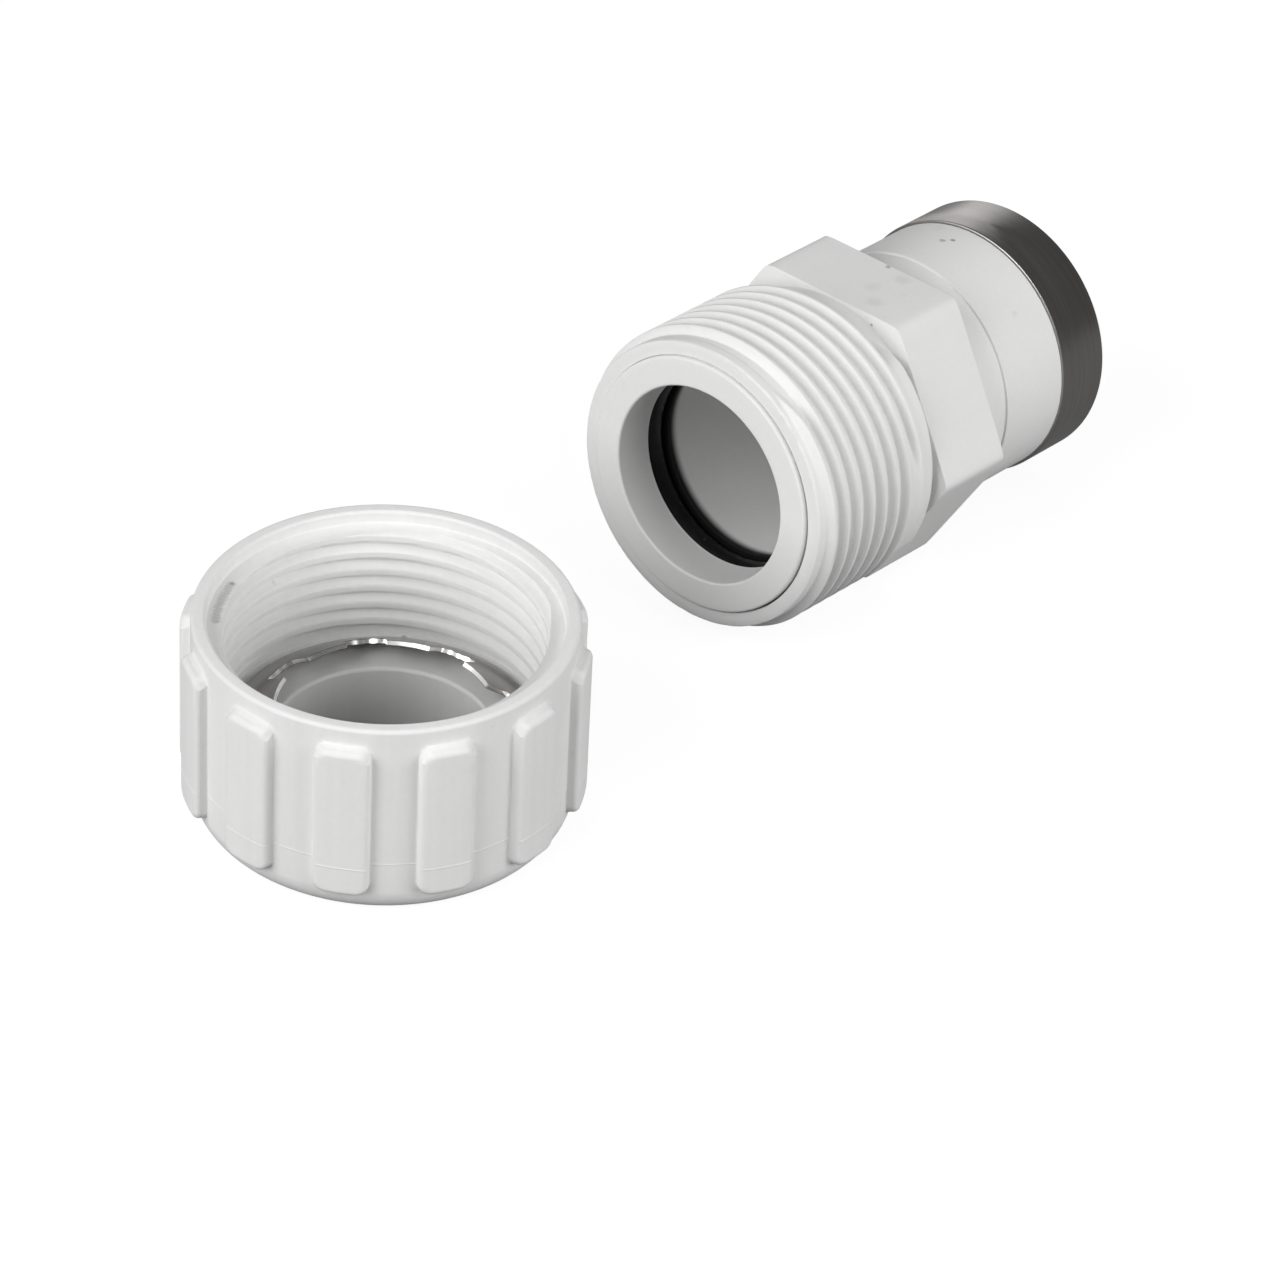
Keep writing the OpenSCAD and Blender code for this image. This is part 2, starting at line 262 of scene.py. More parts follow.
class Finishes(PropertyGroup):
    """Colours and roughness of the finishes."""
    body: colour("Body plastic", (0.76, 0.76, 0.755), "Colour of the adapter's plastic")
    nut: colour("Nut plastic", (0.76, 0.76, 0.755), "Colour of the nut's plastic")
    retainer: colour("Retainer plastic", (0.77, 0.77, 0.765), "Colour of the retainer's plastic")
    dirt: colour("Dirt", (0.22, 0.215, 0.21), "Colour of specks and scuffs")
    rubber: colour("Rubber", (0.005, 0.005, 0.0055), "Colour of the O-ring")
    band: colour("Band steel", (0.38, 0.365, 0.355), "Colour of the reinforcing band")
    grip: colour("Grip steel", (0.32, 0.31, 0.3), "Colour of the grip ring")
    # Near white: a painted highlight that stands for the glints on the grip ring's torn edges and
    # burrs
    cut: colour("Cut edge", (0.98, 0.97, 0.95), "Colour of the grip ring's torn edges")
    # A painted highlight that stands for the glint along the band's front edge
    band_glint: colour("Band edge glint", (0.8, 0.78, 0.75), "Colour of the band's front edge")
    plastic_rough: number("Plastic roughness", 0.5, "Least roughness of the plastic")
    rubber_rough: number("Rubber roughness", 0.4, "Least roughness of the O-ring")
    band_rough: number("Band roughness", 0.24, "Least roughness of the reinforcing band")
    grip_rough: number("Grip roughness", 0.12, "Least roughness of the grip ring")


class StageSizes(PropertyGroup):
    """Camera, floor and lights."""
    distance: size("Distance", 770, "Distance from the camera to the seen point")
    azimuth: angle("Azimuth", -50.62, "Direction that the camera stands in")
    elevation: angle("Elevation", 35.93, "Height of the camera above the floor, as an angle")
    roll: angle("Roll", 3.05, "Roll of the camera")
    lens: number("Lens", 166.17, "Focal length in millimetres on a 36 mm sensor")
    floor: colour("Floor", (0.16, 0.16, 0.16), "Colour of the floor under its glow")
    floor_half: size("Floor half width", 3000, "Half the floor's width")
    glow: number("Glow", 0.9, "How white the floor shows to the camera, where 1 is white")
    ambient: number("Ambient", 0.1, "Strength of the even light from all round")
    mirrored: number("Mirrored", 0.12, "How white the background is in metal, where 1 is white")
    key: number("Key light", 4.3, "Power of the soft light at the left, in watts")
    back: number("Back light", 9.0, "Power of the soft light behind the left, in watts")
    front: number("Front light", 7.7, "Power of the soft light in front, in watts")
    side: number("Side light", 2.0, "Power of the soft light at the right, in watts")
    rim: number("Rim light", 2.5, "Power of the low soft light behind the right, in watts")


class AdapterSettings(PropertyGroup):
    """All the settings of the dressed adapter."""
    body: PointerProperty(type=BodySizes)
    seal: PointerProperty(type=SealSizes)
    band: PointerProperty(type=BandSizes)
    nut: PointerProperty(type=NutSizes)
    grip: PointerProperty(type=GripSizes)
    finish: PointerProperty(type=Finishes)
    stage: PointerProperty(type=StageSizes)


# Curves and profiles

def smooth(value):
    """Eases from 0 to 1 and is level at both ends."""
    value = min(max(value, 0.0), 1.0)
    return value * value * (3 - 2 * value)


def along(points, place):
    """Value at a place on the line through (place, value) points."""
    if place <= points[0][0]:
        return points[0][1]
    for (low, first), (high, second) in zip(points, points[1:]):
        if place <= high:
            return first + (second - first) * (place - low) / (high - low)
    return points[-1][1]


def spread(low, high, steps):
    """Evenly spaced values from low up to but without high."""
    return [low + (high - low) * i / steps for i in range(steps)]


def rounded(corners, steps=4):
    """Profile through (radius, height, rounding) corners, with each corner drawn as an arc."""
    points = []
    last = len(corners) - 1
    for index, (x, y, rounding) in enumerate(corners):
        here = Vector((x, y))
        if rounding == 0 or index in (0, last):
            points.append((x, y))
            continue
        back = (Vector(corners[index - 1][:2]) - here).normalized()
        ahead = (Vector(corners[index + 1][:2]) - here).normalized()
        half = back.angle(ahead) / 2
        centre = here + (back + ahead).normalized() * (rounding / sin(half))
        first = (here + back * (rounding / tan(half)) - centre).normalized()
        final = (here + ahead * (rounding / tan(half)) - centre).normalized()
        for step in range(steps + 1):
            points.append(tuple(centre + first.slerp(final, step / steps) * rounding))
    return points


def helix(pitch, starts, start, start_turn, turns, crest, foot, fade):
    """Rule for right-hand ridges: how far they stand up, from 0 to 1, at an angle and a height.

    The ridges start at one height, evenly spread round the turn, and each climbs by the lead,
    which is the pitch times the number of starts.
    """
    lead = pitch * starts

    def ridge(turn, height, first_turn):
        since = (turn - first_turn) % 1.0
        level = start + lead * since
        climbed = round((height - level) / lead)
        run = since + climbed
        grown = smooth(run / fade) * smooth((turns - run) / fade)
        if grown == 0:
            return 0.0
        off = abs(height - level - climbed * lead)
        # A ridge is about half as wide where it starts
        wide = foot * (0.55 + 0.45 * grown)
        narrow = min(crest, wide / 2)
        return grown * smooth((wide - 2 * off) / (wide - narrow))

    def share(turn, height):
        return max(ridge(turn, height, start_turn + i / starts) for i in range(starts))
    return share


def on_turn(spin, radius, height):
    """A point at an angle, a radius and a height round the Z axis."""
    return Vector((radius * cos(spin), radius * sin(spin), height))


def placed_marks(spots, place=Matrix()):
    """Marks from (degrees, radius in m, height in mm, size in mm, strength) spots."""
    return [(place @ on_turn(radians(deg), radius, height * MM), wide * MM, strength)
            for deg, radius, height, wide, strength in spots]


# Rows of a turned mesh. Each row gives a radius and a height at a share of the turn.

def level(radius, height):
    """A row at one height, with one radius or a rule for it."""
    if callable(radius):
        return lambda turn: (radius(turn, height), height)
    return lambda turn: (radius, height)


def climb(radius, start, end):
    """A row whose height climbs from start to end in one turn."""
    def row(turn):
        height = start + (end - start) * turn
        return radius(turn, height), height
    return row


def threaded(radius, low, high, lead, steps):
    """Rows that follow a thread between two levels: they fan out, climb, and fold together."""
    step = lead / steps
    middle = round((high - low) / step) - steps
    rows = [climb(radius, low, low + i * step) for i in range(steps)]
    rows += [climb(radius, low + i * step, low + i * step + lead) for i in range(middle)]
    last = low + middle * step
    rows += [climb(radius, last + i * step, last + lead) for i in range(steps + 1)]
    return rows


def levels(points):
    """Level rows through the points of a profile."""
    return [level(radius, height) for radius, height in points]


def turned(name, rows, turns, place):
    """Closed mesh through rows, the last of which meets the first, then laid in its place."""
    points = []
    for row in rows:
        for turn in turns:
            radius, height = row(turn)
            points.append(on_turn(tau * turn, radius, height))
    faces = []
    wide = len(turns)
    for index in range(len(rows)):
        here = index * wide
        over = (index + 1) % len(rows) * wide
        for step in range(wide - 1):
            faces.append((here + step, here + step + 1, over + step + 1, over + step))
    mesh = bpy.data.meshes.new(name)
    mesh.from_pydata(points, [], faces)
    form = bmesh.new()
    form.from_mesh(mesh)
    bmesh.ops.remove_doubles(form, verts=form.verts, dist=WELD)
    bmesh.ops.recalc_face_normals(form, faces=form.faces)
    if not all(edge.is_manifold for edge in form.edges):
        raise RuntimeError(f"{name} isn't closed")
    for face in form.faces:
        face.smooth = True
    form.to_mesh(mesh)
    form.free()
    mesh.transform(place)
    mesh.set_sharp_from_angle(angle=SHARP)
    piece = bpy.data.objects.new(name, mesh)
    bpy.context.scene.collection.objects.link(piece)
    evened = piece.modifiers.new("Even shading", "WEIGHTED_NORMAL")
    evened.keep_sharp = True
    return piece


def seat_piece(piece, node, material):
    """Gives a piece its finish and puts it in place of its node."""
    piece.data.materials.append(material)
    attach(piece, "root")
    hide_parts(node)


# Materials

class Wire:
    """An output socket that takes part in Python arithmetic; each operator adds a Math node."""

    def __init__(self, tree, socket):
        self.tree = tree
        self.socket = socket

    def node(self, kind, settings, inputs, output=0):
        """Adds a node with its settings set first, then its sockets, and returns one output."""
        return add_node(self.tree, kind, settings, inputs, output)

    def math(self, operation, *values):
        """A Math node on this wire and other values."""
        inputs = dict(enumerate(values))
        return self.node("ShaderNodeMath", {"operation": operation}, inputs)

    def __add__(self, other):
        return self.math("ADD", self, other)

    __radd__ = __add__

    def __sub__(self, other):
        return self.math("SUBTRACT", self, other)

    def __rsub__(self, other):
        return self.math("SUBTRACT", other, self)

    def __mul__(self, other):
        return self.math("MULTIPLY", self, other)

    __rmul__ = __mul__

    def __truediv__(self, other):
        return self.math("DIVIDE", self, other)

    def __rtruediv__(self, other):
        return self.math("DIVIDE", other, self)

    def most(self, other):
        """The larger of two values."""
        return self.math("MAXIMUM", self, other)

    def eased(self, low, high):
        """Eases from 0 at low to 1 at high."""
        inputs = {0: self, 1: low, 2: high}
        return self.node("ShaderNodeMapRange", {"interpolation_type": "SMOOTHSTEP"}, inputs)

    def scaled(self, factors):
        """A vector wire stretched by one factor on each axis."""
        return self.node("ShaderNodeVectorMath", {"operation": "MULTIPLY"}, {0: self, 1: factors})

    def away(self, point):
        """Distance of a vector wire from a point."""
        inputs = {0: self, 1: point}
        return self.node("ShaderNodeVectorMath", {"operation": "DISTANCE"}, inputs, 1)

    def clouds(self, scale, detail=3.0, rough=0.5):
        """Soft noise on a vector wire, around 0.5."""
        inputs = {"Vector": self, "Scale": scale, "Detail": detail, "Roughness": rough}
        return self.node("ShaderNodeTexNoise", {"noise_dimensions": "3D"}, inputs)


def add_node(tree, kind, settings, inputs, output=0):
    """Adds a node: its settings first, then the values or links of its sockets."""
    made = tree.nodes.new(kind)
    for name, value in settings.items():
        setattr(made, name, value)
    for name, value in inputs.items():
        if isinstance(value, Wire):
            tree.links.new(value.socket, made.inputs[name])
        else:
            made.inputs[name].default_value = value
    return Wire(tree, made.outputs[output]) if made.outputs else made


def mixed(share, first, second):
    """A colour between two others."""
    return share.node("ShaderNodeMix", {"data_type": "RGBA"}, {0: share, 6: first, 7: second}, 2)


def opaque(value):
    """A colour with full alpha."""
    return (*value, 1.0)


def shaded(value, tone):
    """A colour made lighter or darker by a tone around 1."""
    inputs = {0: value, "Scale": tone}
    return tone.node("ShaderNodeVectorMath", {"operation": "SCALE"}, inputs)


def new_material(name, place):
    """A material with an empty tree, and a wire with its coordinates round the piece's axis."""
    material = bpy.data.materials.new(name)
    material.use_nodes = True
    tree = material.node_tree
    tree.nodes.clear()
    placed = add_node(tree, "ShaderNodeTexCoord", {}, {}, "Object")
    inputs = {"Vector": placed, "Location": place.to_translation(), "Rotation": place.to_euler()}
    coords = add_node(tree, "ShaderNodeMapping", {"vector_type": "TEXTURE"}, inputs)
    return material, coords


def surface(material, inputs, bump, height):
    """Ends a material in one shader whose Normal comes from a bump of the given height."""
    tree = material.node_tree
    normal = add_node(tree, "ShaderNodeBump", {}, {"Height": bump, "Distance": height})
    shader = add_node(tree, "ShaderNodeBsdfPrincipled", {}, {**inputs, "Normal": normal})
    add_node(tree, "ShaderNodeOutputMaterial", {}, {"Surface": shader})
    return material


def split(coords):
    """The three parts of a vector wire."""
    return [coords.node("ShaderNodeSeparateXYZ", {}, {0: coords}, axis) for axis in range(3)]


def specks(coords, per_metre, share, radius):
    """Sparse round specks: 1 inside a speck. Only a share of the cells has one."""
    inputs = {"Vector": coords, "Scale": per_metre}
    cells = add_node(coords.tree, "ShaderNodeTexVoronoi", {"feature": "F1"}, inputs)
    shade = Wire(coords.tree, cells.socket.node.outputs["Color"])
    picked = split(shade)[0].eased(1 - share, 1 - share + 0.01)
    return (1 - cells.eased(radius * 0.5, radius)) * picked


def blots(coords, marks):
    """Soft marks at stated points: each mark is a point, a radius and a strength."""
    ragged = (coords.clouds(1800) - 0.5) * 0.9
    total = None
    for point, radius, strength in marks:
        mark = (1 - (coords.away(point) / radius + ragged).eased(0.35, 1.0)) * strength
        total = mark if total is None else total.most(mark)
    return total


def painted_shade_ring(coords, low, high, radius, strength):
    """A dark ring of painted shade round the axis that fades out from one height to a higher one.
    """
    near_axis = 1 - off_axis(coords).eased(radius, radius * 1.05)
    below_end = 1 - split(coords)[2].eased(low, high)
    return near_axis * below_end * strength


def plastic(name, place, base, rough, dirt, marks, streaks=0.0, painted_shade=None):
    """White satin moulded plastic with faint clouding, specks and scuffs.

    A painted shade is the arguments of a ring of painted shade and its colour.
    """
    material, coords = new_material(name, place)
    clouding = coords.clouds(70, 4.0, 0.6)
    grain = coords.clouds(1500, 2.0)
    peel = coords.clouds(420, 2.0)
    drawn = coords.scaled((1, 1, 0.05)).clouds(900, 2.0)
    spots = specks(coords, 130, 0.05, 0.045)
    grime = coords.clouds(160, 5.0, 0.7).eased(0.6, 0.78) * 0.06
    dirty = (spots * 0.55).most(grime)
    if marks:
        dirty = dirty.most(blots(coords, marks))
    tone = 0.965 + 0.07 * clouding + 0.05 * (grain - 0.5) + streaks * (drawn - 0.5)
    paint = mixed(dirty, shaded(base, tone), opaque(dirt))
    # Painted shade: a ring round the axis is darkened towards its colour, standing in for a shadow
    if painted_shade:
        ring, black = painted_shade
        paint = mixed(painted_shade_ring(coords, *ring), paint, opaque(black))
    bump = peel * 0.5 + grain * 0.35 + drawn * (streaks * 6)
    inputs = {"Base Color": paint, "Roughness": rough + 0.16 * clouding + 0.10 * grain,
              "Specular IOR Level": 0.2}
    return surface(material, inputs, bump, 0.012 * MM)


def rubber(name, place, base, rough):
    """Black rubber with a faint bloom."""
    material, coords = new_material(name, place)
    bloom = coords.clouds(500, 5.0, 0.65).eased(0.45, 0.85)
    grain = coords.clouds(3000, 2.0)
    dust = specks(coords, 500, 0.12, 0.12)
    pale = (0.09, 0.09, 0.09, 1)
    paint = mixed((bloom * 0.1).most(dust * 0.4), opaque(base), pale)
    inputs = {"Base Color": paint, "Roughness": rough + 0.2 * bloom, "Specular IOR Level": 0.25}
    return surface(material, inputs, grain, 0.006 * MM)


def off_axis(coords):
    """Distance of a point from the piece's axis."""
    return coords.node("ShaderNodeVectorMath", {"operation": "LENGTH"},
                       {0: coords.scaled((1, 1, 0))}, 1)


def cut_edge_glint(coords, outer, slope, across):
    """1 on the cut edges of a cone's sheet, which lie between its upper and its lower face, and on
    their burrs, where a highlight is painted.
    """
    upper = (outer - off_axis(coords)) * tan(slope) + across
    # 0 on the sheet's upper face, 1 on its lower face and below 0 on the burr
    depth = (upper - split(coords)[2]) / across
    above = 1 - depth.eased(-0.12, -0.03)
    return above.most(depth.eased(0.04, 0.12) * (1 - depth.eased(0.88, 0.96)))


def glint_strip(coords, height, wide):
    """Mask of a painted highlight: 1 in a ragged strip round the axis at a height, which is half as
    wide as stated.
    """
    off = (split(coords)[2] - height).math("ABSOLUTE")
    return 1 - (off / wide + (coords.clouds(900) - 0.5) * 0.6).eased(0.35, 0.6)


def brushed(name, place, base, rough, fineness, contrast, lines, cut):
    """Steel brushed round its axis: each scratch is long round the turn and thin along it.

    A cut is a rule for an edge that gets a painted highlight, the rule's arguments, and the colour
    of that painted highlight.
    """
    material, coords = new_material(name, place)
    thin = coords.scaled((lines, lines, 1)).clouds(fineness, 3.0, 0.7)
    broad = coords.scaled((1, 1, 3)).clouds(120, 3.0)
    stain = coords.clouds(260, 5.0, 0.7).eased(0.55, 0.8)
    rule, values, glint_colour = cut
    share = rule(coords, *values)
    tone = 1 - contrast / 2 + contrast * thin - 0.12 * stain
    paint = mixed(share, shaded(base, tone), opaque(glint_colour))
    rough = rough + 0.16 * thin + 0.06 * broad + 0.06 * share
    inputs = {"Base Color": paint, "Metallic": 1.0, "Roughness": rough, "Anisotropic": 0.55}
    return surface(material, inputs, thin, 0.004 * MM)


# Pieces

def settings():
    """The settings that the operators read."""
    return bpy.context.scene.adapter_settings


def even_turns(steps):
    """Shares of a turn, with the seam at both ends."""
    return [i / steps for i in range(steps + 1)]


def hexagon(flat, corner, inset):
    """Rule for a hexagon with softened corners, drawn in by an inset."""
    sharpness = 90

    def radius(turn, height):
        side = flat / cos((tau * turn) % (pi / 3) - pi / 6)
        return ((side / flat) ** -sharpness
                + (corner / flat) ** -sharpness) ** (-1 / sharpness) * flat - inset
    return radius


def land_rule(body):
    """Rule for the land that fills the grooves behind the thread, from 0 to 1."""
    lead = body.pitch * body.starts
    last_turn = int(body.turns - 0.5)

    def land(turn, height):
        spin = tau * turn
        front = body.start + lead * ((spin - body.start_turn) / tau + last_turn)
        past_end = smooth((spin - body.groove_end) / body.groove_fade + 0.5)
        behind_groove, over_groove = [smooth((height - place) / body.land_ease)
                                      for place in (front + body.pitch, front)]
        filled = behind_groove + (over_groove - behind_groove) * past_end
        wide = (smooth((spin - body.land_from) / body.land_fade)
                * smooth((body.land_to - spin) / body.land_fade))
        return wide * filled * smooth((body.land_end - height) / body.land_slope)
    return land


def outside_rule(body):
    """Rule for the radius of the threaded end, from the lip to the plain neck."""
    ridge = helix(body.pitch, body.starts, body.start, body.start_turn / tau, body.turns,
                  body.crest_flat, body.pitch - body.groove_flat, body.fade)
    land = land_rule(body)
    land_r = body.crest_r - body.land_below
    # The root runs on a little behind the last ridge and then slopes down to the neck
    floor = [(body.lip_len - 0.25 * MM, body.lip_r), (body.lip_len, body.root_r),
             (body.thread_end + 0.6 * MM, body.root_r),
             (body.thread_end + 1.6 * MM, body.relief_r)]

    def outside(turn, height):
        base = along(floor, height)
        base += (land_r - base) * land(turn, height)
        return base + (body.crest_r - base) * ridge(turn, height)
    return outside


def lip_rows(body, outside):
    """Rows of the mouth's face and of its ragged outer edge."""
    def ragged(back):
        def radius(turn, height):
            point = on_turn(tau * turn, 1, height / (2 * MM)) * 14
            torn = smooth((cos(tau * turn - body.torn_turn) - 0.6) / 0.3)
            rough = noise.noise(point) + 0.4 * noise.noise(point * 3)
            edge = outside(turn, height) - body.lip_back
            return edge + rough * (body.ragged + body.torn * torn) - back
        return radius

    rows = levels(rounded([(body.seat_r, 0.6 * MM, 0), (body.seat_r, 0, 0.18 * MM),
                           (body.lip_r - 1.2 * MM, 0, 0)]))
    rows.append(level(body.lip_r - 0.9 * MM, 0))
    rows += [level(ragged(back * MM), height * MM)
             for back, height in ((0.16, 0), (0.05, 0.05), (0, 0.14))]
    return rows


def hexagon_rows(body):
    """Rows of the hexagon, with its two end edges rounded."""
    rows = []
    for place, inward in ((body.hex_start, 1), (body.hex_end, -1)):
        edge = []
        for share in (0, 0.3, 0.65, 1):
            inset = (1 - share) ** 2 * 0.1 * MM
            outline = hexagon(body.hex_flat, body.hex_corner, inset)
            edge.append(level(outline, place + inward * share * body.hex_edge))
        rows += edge[::inward]
    return rows


def port_rows(body):
    """Rows of the rear port's thread, from the stop to its flared mouth."""
    stop_end = body.stop_start + body.stop_len
    ridge = helix(body.port_pitch, 1, stop_end - body.port_pitch, body.port_turn / tau,
                  body.port_turns, body.port_crest, body.port_pitch - body.port_groove,
                  body.port_fade)

    def inside(turn, height):
        return body.port_root_r - (body.port_root_r - PORT_R) * ridge(turn, height)
    return threaded(inside, stop_end + 0.1 * MM, BODY_LEN - body.port_lead - 0.1 * MM,
                    body.port_pitch, PORT_STEPS)


def body_rows(body):
    """Rows of the adapter body, from its mouth along the outside and back through its bore."""
    outside = outside_rule(body)
    thread_low = body.lip_len + 0.05 * MM
    thread_high = body.hex_start - 0.35 * MM
    stop_end = body.stop_start + body.stop_len
    band_start = BAND_FRONT - MOUTH_PLACE

    rows = lip_rows(body, outside)
    rows += [level(outside, height) for height in spread(0.32 * MM, thread_low, 11)]
    rows += threaded(outside, thread_low, thread_high, body.pitch * body.starts,
                     THREAD_STEPS * body.starts)
    rows += levels([(body.relief_r, body.hex_start - 0.13 * MM),
                    (body.relief_r + 0.01 * MM, body.hex_start - 0.06 * MM)])
    rows += hexagon_rows(body)
    rows += levels(rounded([
        (body.neck_r + 1.2 * MM, body.hex_end, 0),
        (body.neck_r, body.hex_end, body.edge * 2),
        (body.neck_r, body.socket_start, 0.12 * MM),
        (body.socket_r, body.socket_start, 0.16 * MM),
        (body.socket_r, band_start, 0.13 * MM),
        (body.band_seat_r, band_start, 0.06 * MM),
        (body.band_seat_r, BODY_LEN, body.edge),
        (body.port_root_r, BODY_LEN, 0.1 * MM),
        (PORT_R, BODY_LEN - body.port_lead, 0)]))
    rows += port_rows(body)[::-1]
    rows += levels(rounded([
        (body.port_root_r, stop_end, 0),
        (body.stop_r, stop_end, 0.5 * MM),
        (body.stop_r, body.stop_start, 0.5 * MM),
        (BORE_R, body.stop_start, body.edge),
        (BORE_R, body.seat_len, body.bore_bevel),
        (body.seat_r, body.seat_len, body.edge),
        (body.seat_r, 0.61 * MM, 0)]))
    return rows


class ADAPTER_OT_body(Operator):
    """Builds the adapter body with its helical threads and its hexagon."""
    bl_idname = "adapter.body"
    bl_label = "Adapter body"

    def execute(self, context):
        body = settings().body
        finish = settings().finish
        piece = turned("body_moulding", body_rows(body), even_turns(TURN_STEPS), LAID)

        flat, socket = body.hex_flat, body.socket_r
        specks_seen = [
            (111, flat, 23.3, 0.32, 0.75), (90, flat, 35.2, 0.5, 0.6),
            (122, flat + 0.5 * MM, 29, 0.32, 0.75),
            (85, socket, 49, 0.55, 0.55), (88, socket, 50, 0.42, 0.8)]
        smudges_seen = [
            (134, socket, 48, 0.7, 0.1), (100, flat, 34, 1.6, 0.12),
            (104, flat, 26.5, 1.9, 0.12), (96, flat, 29.5, 1.5, 0.09),
            (108, flat, 31, 1.3, 0.1), (75, socket, 52, 1.2, 0.06)]
        # Painted shadow of the O-ring: the inner part of the counterbore's floor and the bore's
        # front end are painted in the rubber's near-black colour
        seal_shadow = (body.seat_len + 0.3 * MM, body.seat_len + 1.9 * MM, BORE_R + 2.5 * MM, 1.0)
        material = plastic("Body plastic", LAID, finish.body, finish.plastic_rough, finish.dirt,
                           placed_marks(specks_seen + smudges_seen),
                           painted_shade=(seal_shadow, finish.rubber))
        seat_piece(piece, "adapter_body", material)
        return {"FINISHED"}


class ADAPTER_OT_seal(Operator):
    """Builds the seal retainer and the O-ring behind it."""
    bl_idname = "adapter.seal"
    bl_label = "Seal retainer and O-ring"

    def execute(self, context):
        seal = settings().seal
        finish = settings().finish
        front = RETAINER_FRONT - MOUTH_PLACE
        back = RETAINER_BACK - MOUTH_PLACE
        edge = seal.retainer_round
        bead_r = seal.retainer_bore_r - seal.retainer_bead

        def beside(radius, height):
            def shifted(turn, place):
                return radius + seal.retainer_off * cos(tau * turn - seal.retainer_side)
            return level(shifted, height)

        corners = [
            (RETAINER_R - 1 * MM, front, 0), (RETAINER_R, front, edge), (RETAINER_R, back, edge),
            (bead_r, back, 0.05 * MM), (bead_r, back - 0.25 * MM, 0.1 * MM),
            (seal.retainer_bore_r, back - 0.3 * MM, 0.02 * MM),
            (seal.retainer_bore_r, front, edge), (RETAINER_R - 1.2 * MM, front, 0)]
        rows = [beside(radius, height) for radius, height in rounded(corners, 6)]
        retainer = turned("retainer_ring", rows, even_turns(SMALL_STEPS), LAID)
        material = plastic("Retainer plastic", LAID, finish.retainer, finish.plastic_rough,
                           finish.dirt, [])
        seat_piece(retainer, "seal_retainer", material)

        middle = (CORD_FRONT + CORD_BACK) / 2 - MOUTH_PLACE
        ring_r = CORD_OUT_R - seal.cord_r
        rows = levels([(ring_r + seal.cord_r * cos(bend), middle + seal.cord_r * sin(bend))
                       for bend in spread(0, tau, 40)])
        cord = turned("rubber_ring", rows, even_turns(SMALL_STEPS), LAID)
        material = rubber("Seal rubber", LAID, finish.rubber, finish.rubber_rough)
        seat_piece(cord, "o_ring", material)
        return {"FINISHED"}


class ADAPTER_OT_band(Operator):
    """Builds the brushed steel band round the rear port."""
    bl_idname = "adapter.band"
    bl_label = "Reinforcing band"

    def execute(self, context):
        band = settings().band
        front = BAND_FRONT - MOUTH_PLACE
        back = BAND_BACK - MOUTH_PLACE
        inner = BAND_R - band.thickness
        corners = [
            (inner, front + 1 * MM, 0), (inner, front, band.edge / 2),
            (BAND_R, front, band.edge), (BAND_R, back, band.edge),
            (inner, back, band.edge / 2), (inner, front + 1.2 * MM, 0)]
        rows = levels(rounded(corners, 5))
        piece = turned("steel_band", rows, even_turns(SMALL_STEPS), LAID)
        finish = settings().finish
        # The front edge is painted pale as a painted highlight for its glinting rim
        band_glint = (front, 0.9 * MM)
        material = brushed("Band steel", LAID, finish.band, finish.band_rough, fineness=2200,
                           contrast=0.55, lines=0.03, cut=(glint_strip, band_glint, finish.band_glint))
        seat_piece(piece, "reinforcing_band", material)
        return {"FINISHED"}


def rib_edges(nut):
    """Profiles of a rib's side, top end and foot, as (distance inside its outline, height)."""
    high = RIB_R - nut.wall_r

    def arc(bend, steps):
        points = [(bend - bend * cos(a), high - bend + bend * sin(a))
                  for a in spread(0, pi / 2, steps)]
        return points + [(bend, high)]

    side = [(-0.35 * MM, 0), (-0.12 * MM, 0.1 * MM), (-0.03 * MM, 0.4 * MM)]
    side += arc(nut.rib_round, 5)
    top = [(-0.3 * MM, 0), (-0.05 * MM, 0.06 * MM)]
    top += [(inside + nut.rib_lean, rise) for inside, rise in arc(nut.rib_bend, 8)]
    foot = [(-0.25 * MM, 0), (-0.06 * MM, 0.1 * MM), *arc(nut.rib_round, 5)]
    return side, top, foot


def nut_wall(nut):
    """Radius of the wall between the ribs, set back so that the seam stays inside the box."""
    return nut.wall_r - 0.06 * MM


def nut_turns(nut, side):
    """Shares of a turn, with a column at each point of the ribs' sides and round their corners."""
    period = tau / nut.ribs
    insides = [inside for inside, _ in side] + [nut.rib_corner * 0.8, nut.rib_corner]
    offs = sorted(asin((nut.rib_w / 2 - inside) / nut.wall_r) for inside in insides)
    half = [0, offs[0] / 2] + offs + spread(offs[-1], period / 2, 4)[1:] + [period / 2]
    whole = [-value for value in half[:0:-1]] + half[:-1]
    turns = [(i * period + value) / tau for i in range(nut.ribs) for value in whole]
    first = turns[0]
    return [value - first for value in turns] + [1.0], first


def ribbed_rule(nut, side, top_end, foot_end, first):
    """Rule for the radius of the nut's ribbed wall, with the mould's parting line."""
    period = tau / nut.ribs
    top = NUT_H - nut.rib_top
    wall = nut_wall(nut)

    def ribbed(turn, height):
        off = abs(((turn + first) * tau + period / 2) % period - period / 2)
        across = nut.rib_w / 2 - nut.wall_r * sin(off)
        over, under = top - height, height - nut.rib_foot
        end, ahead = (top_end, over) if over < under else (foot_end, under)
        corner = nut.rib_corner
        if across < corner and ahead < corner:
            across = ahead = corner - hypot(corner - across, corner - ahead)
        rise = min(along(side, across), along(end, ahead))
        seam = nut.seam * max(0.0, 1 - abs(height - nut.seam_height) / nut.seam_half)
        return wall + rise + seam
    return ribbed


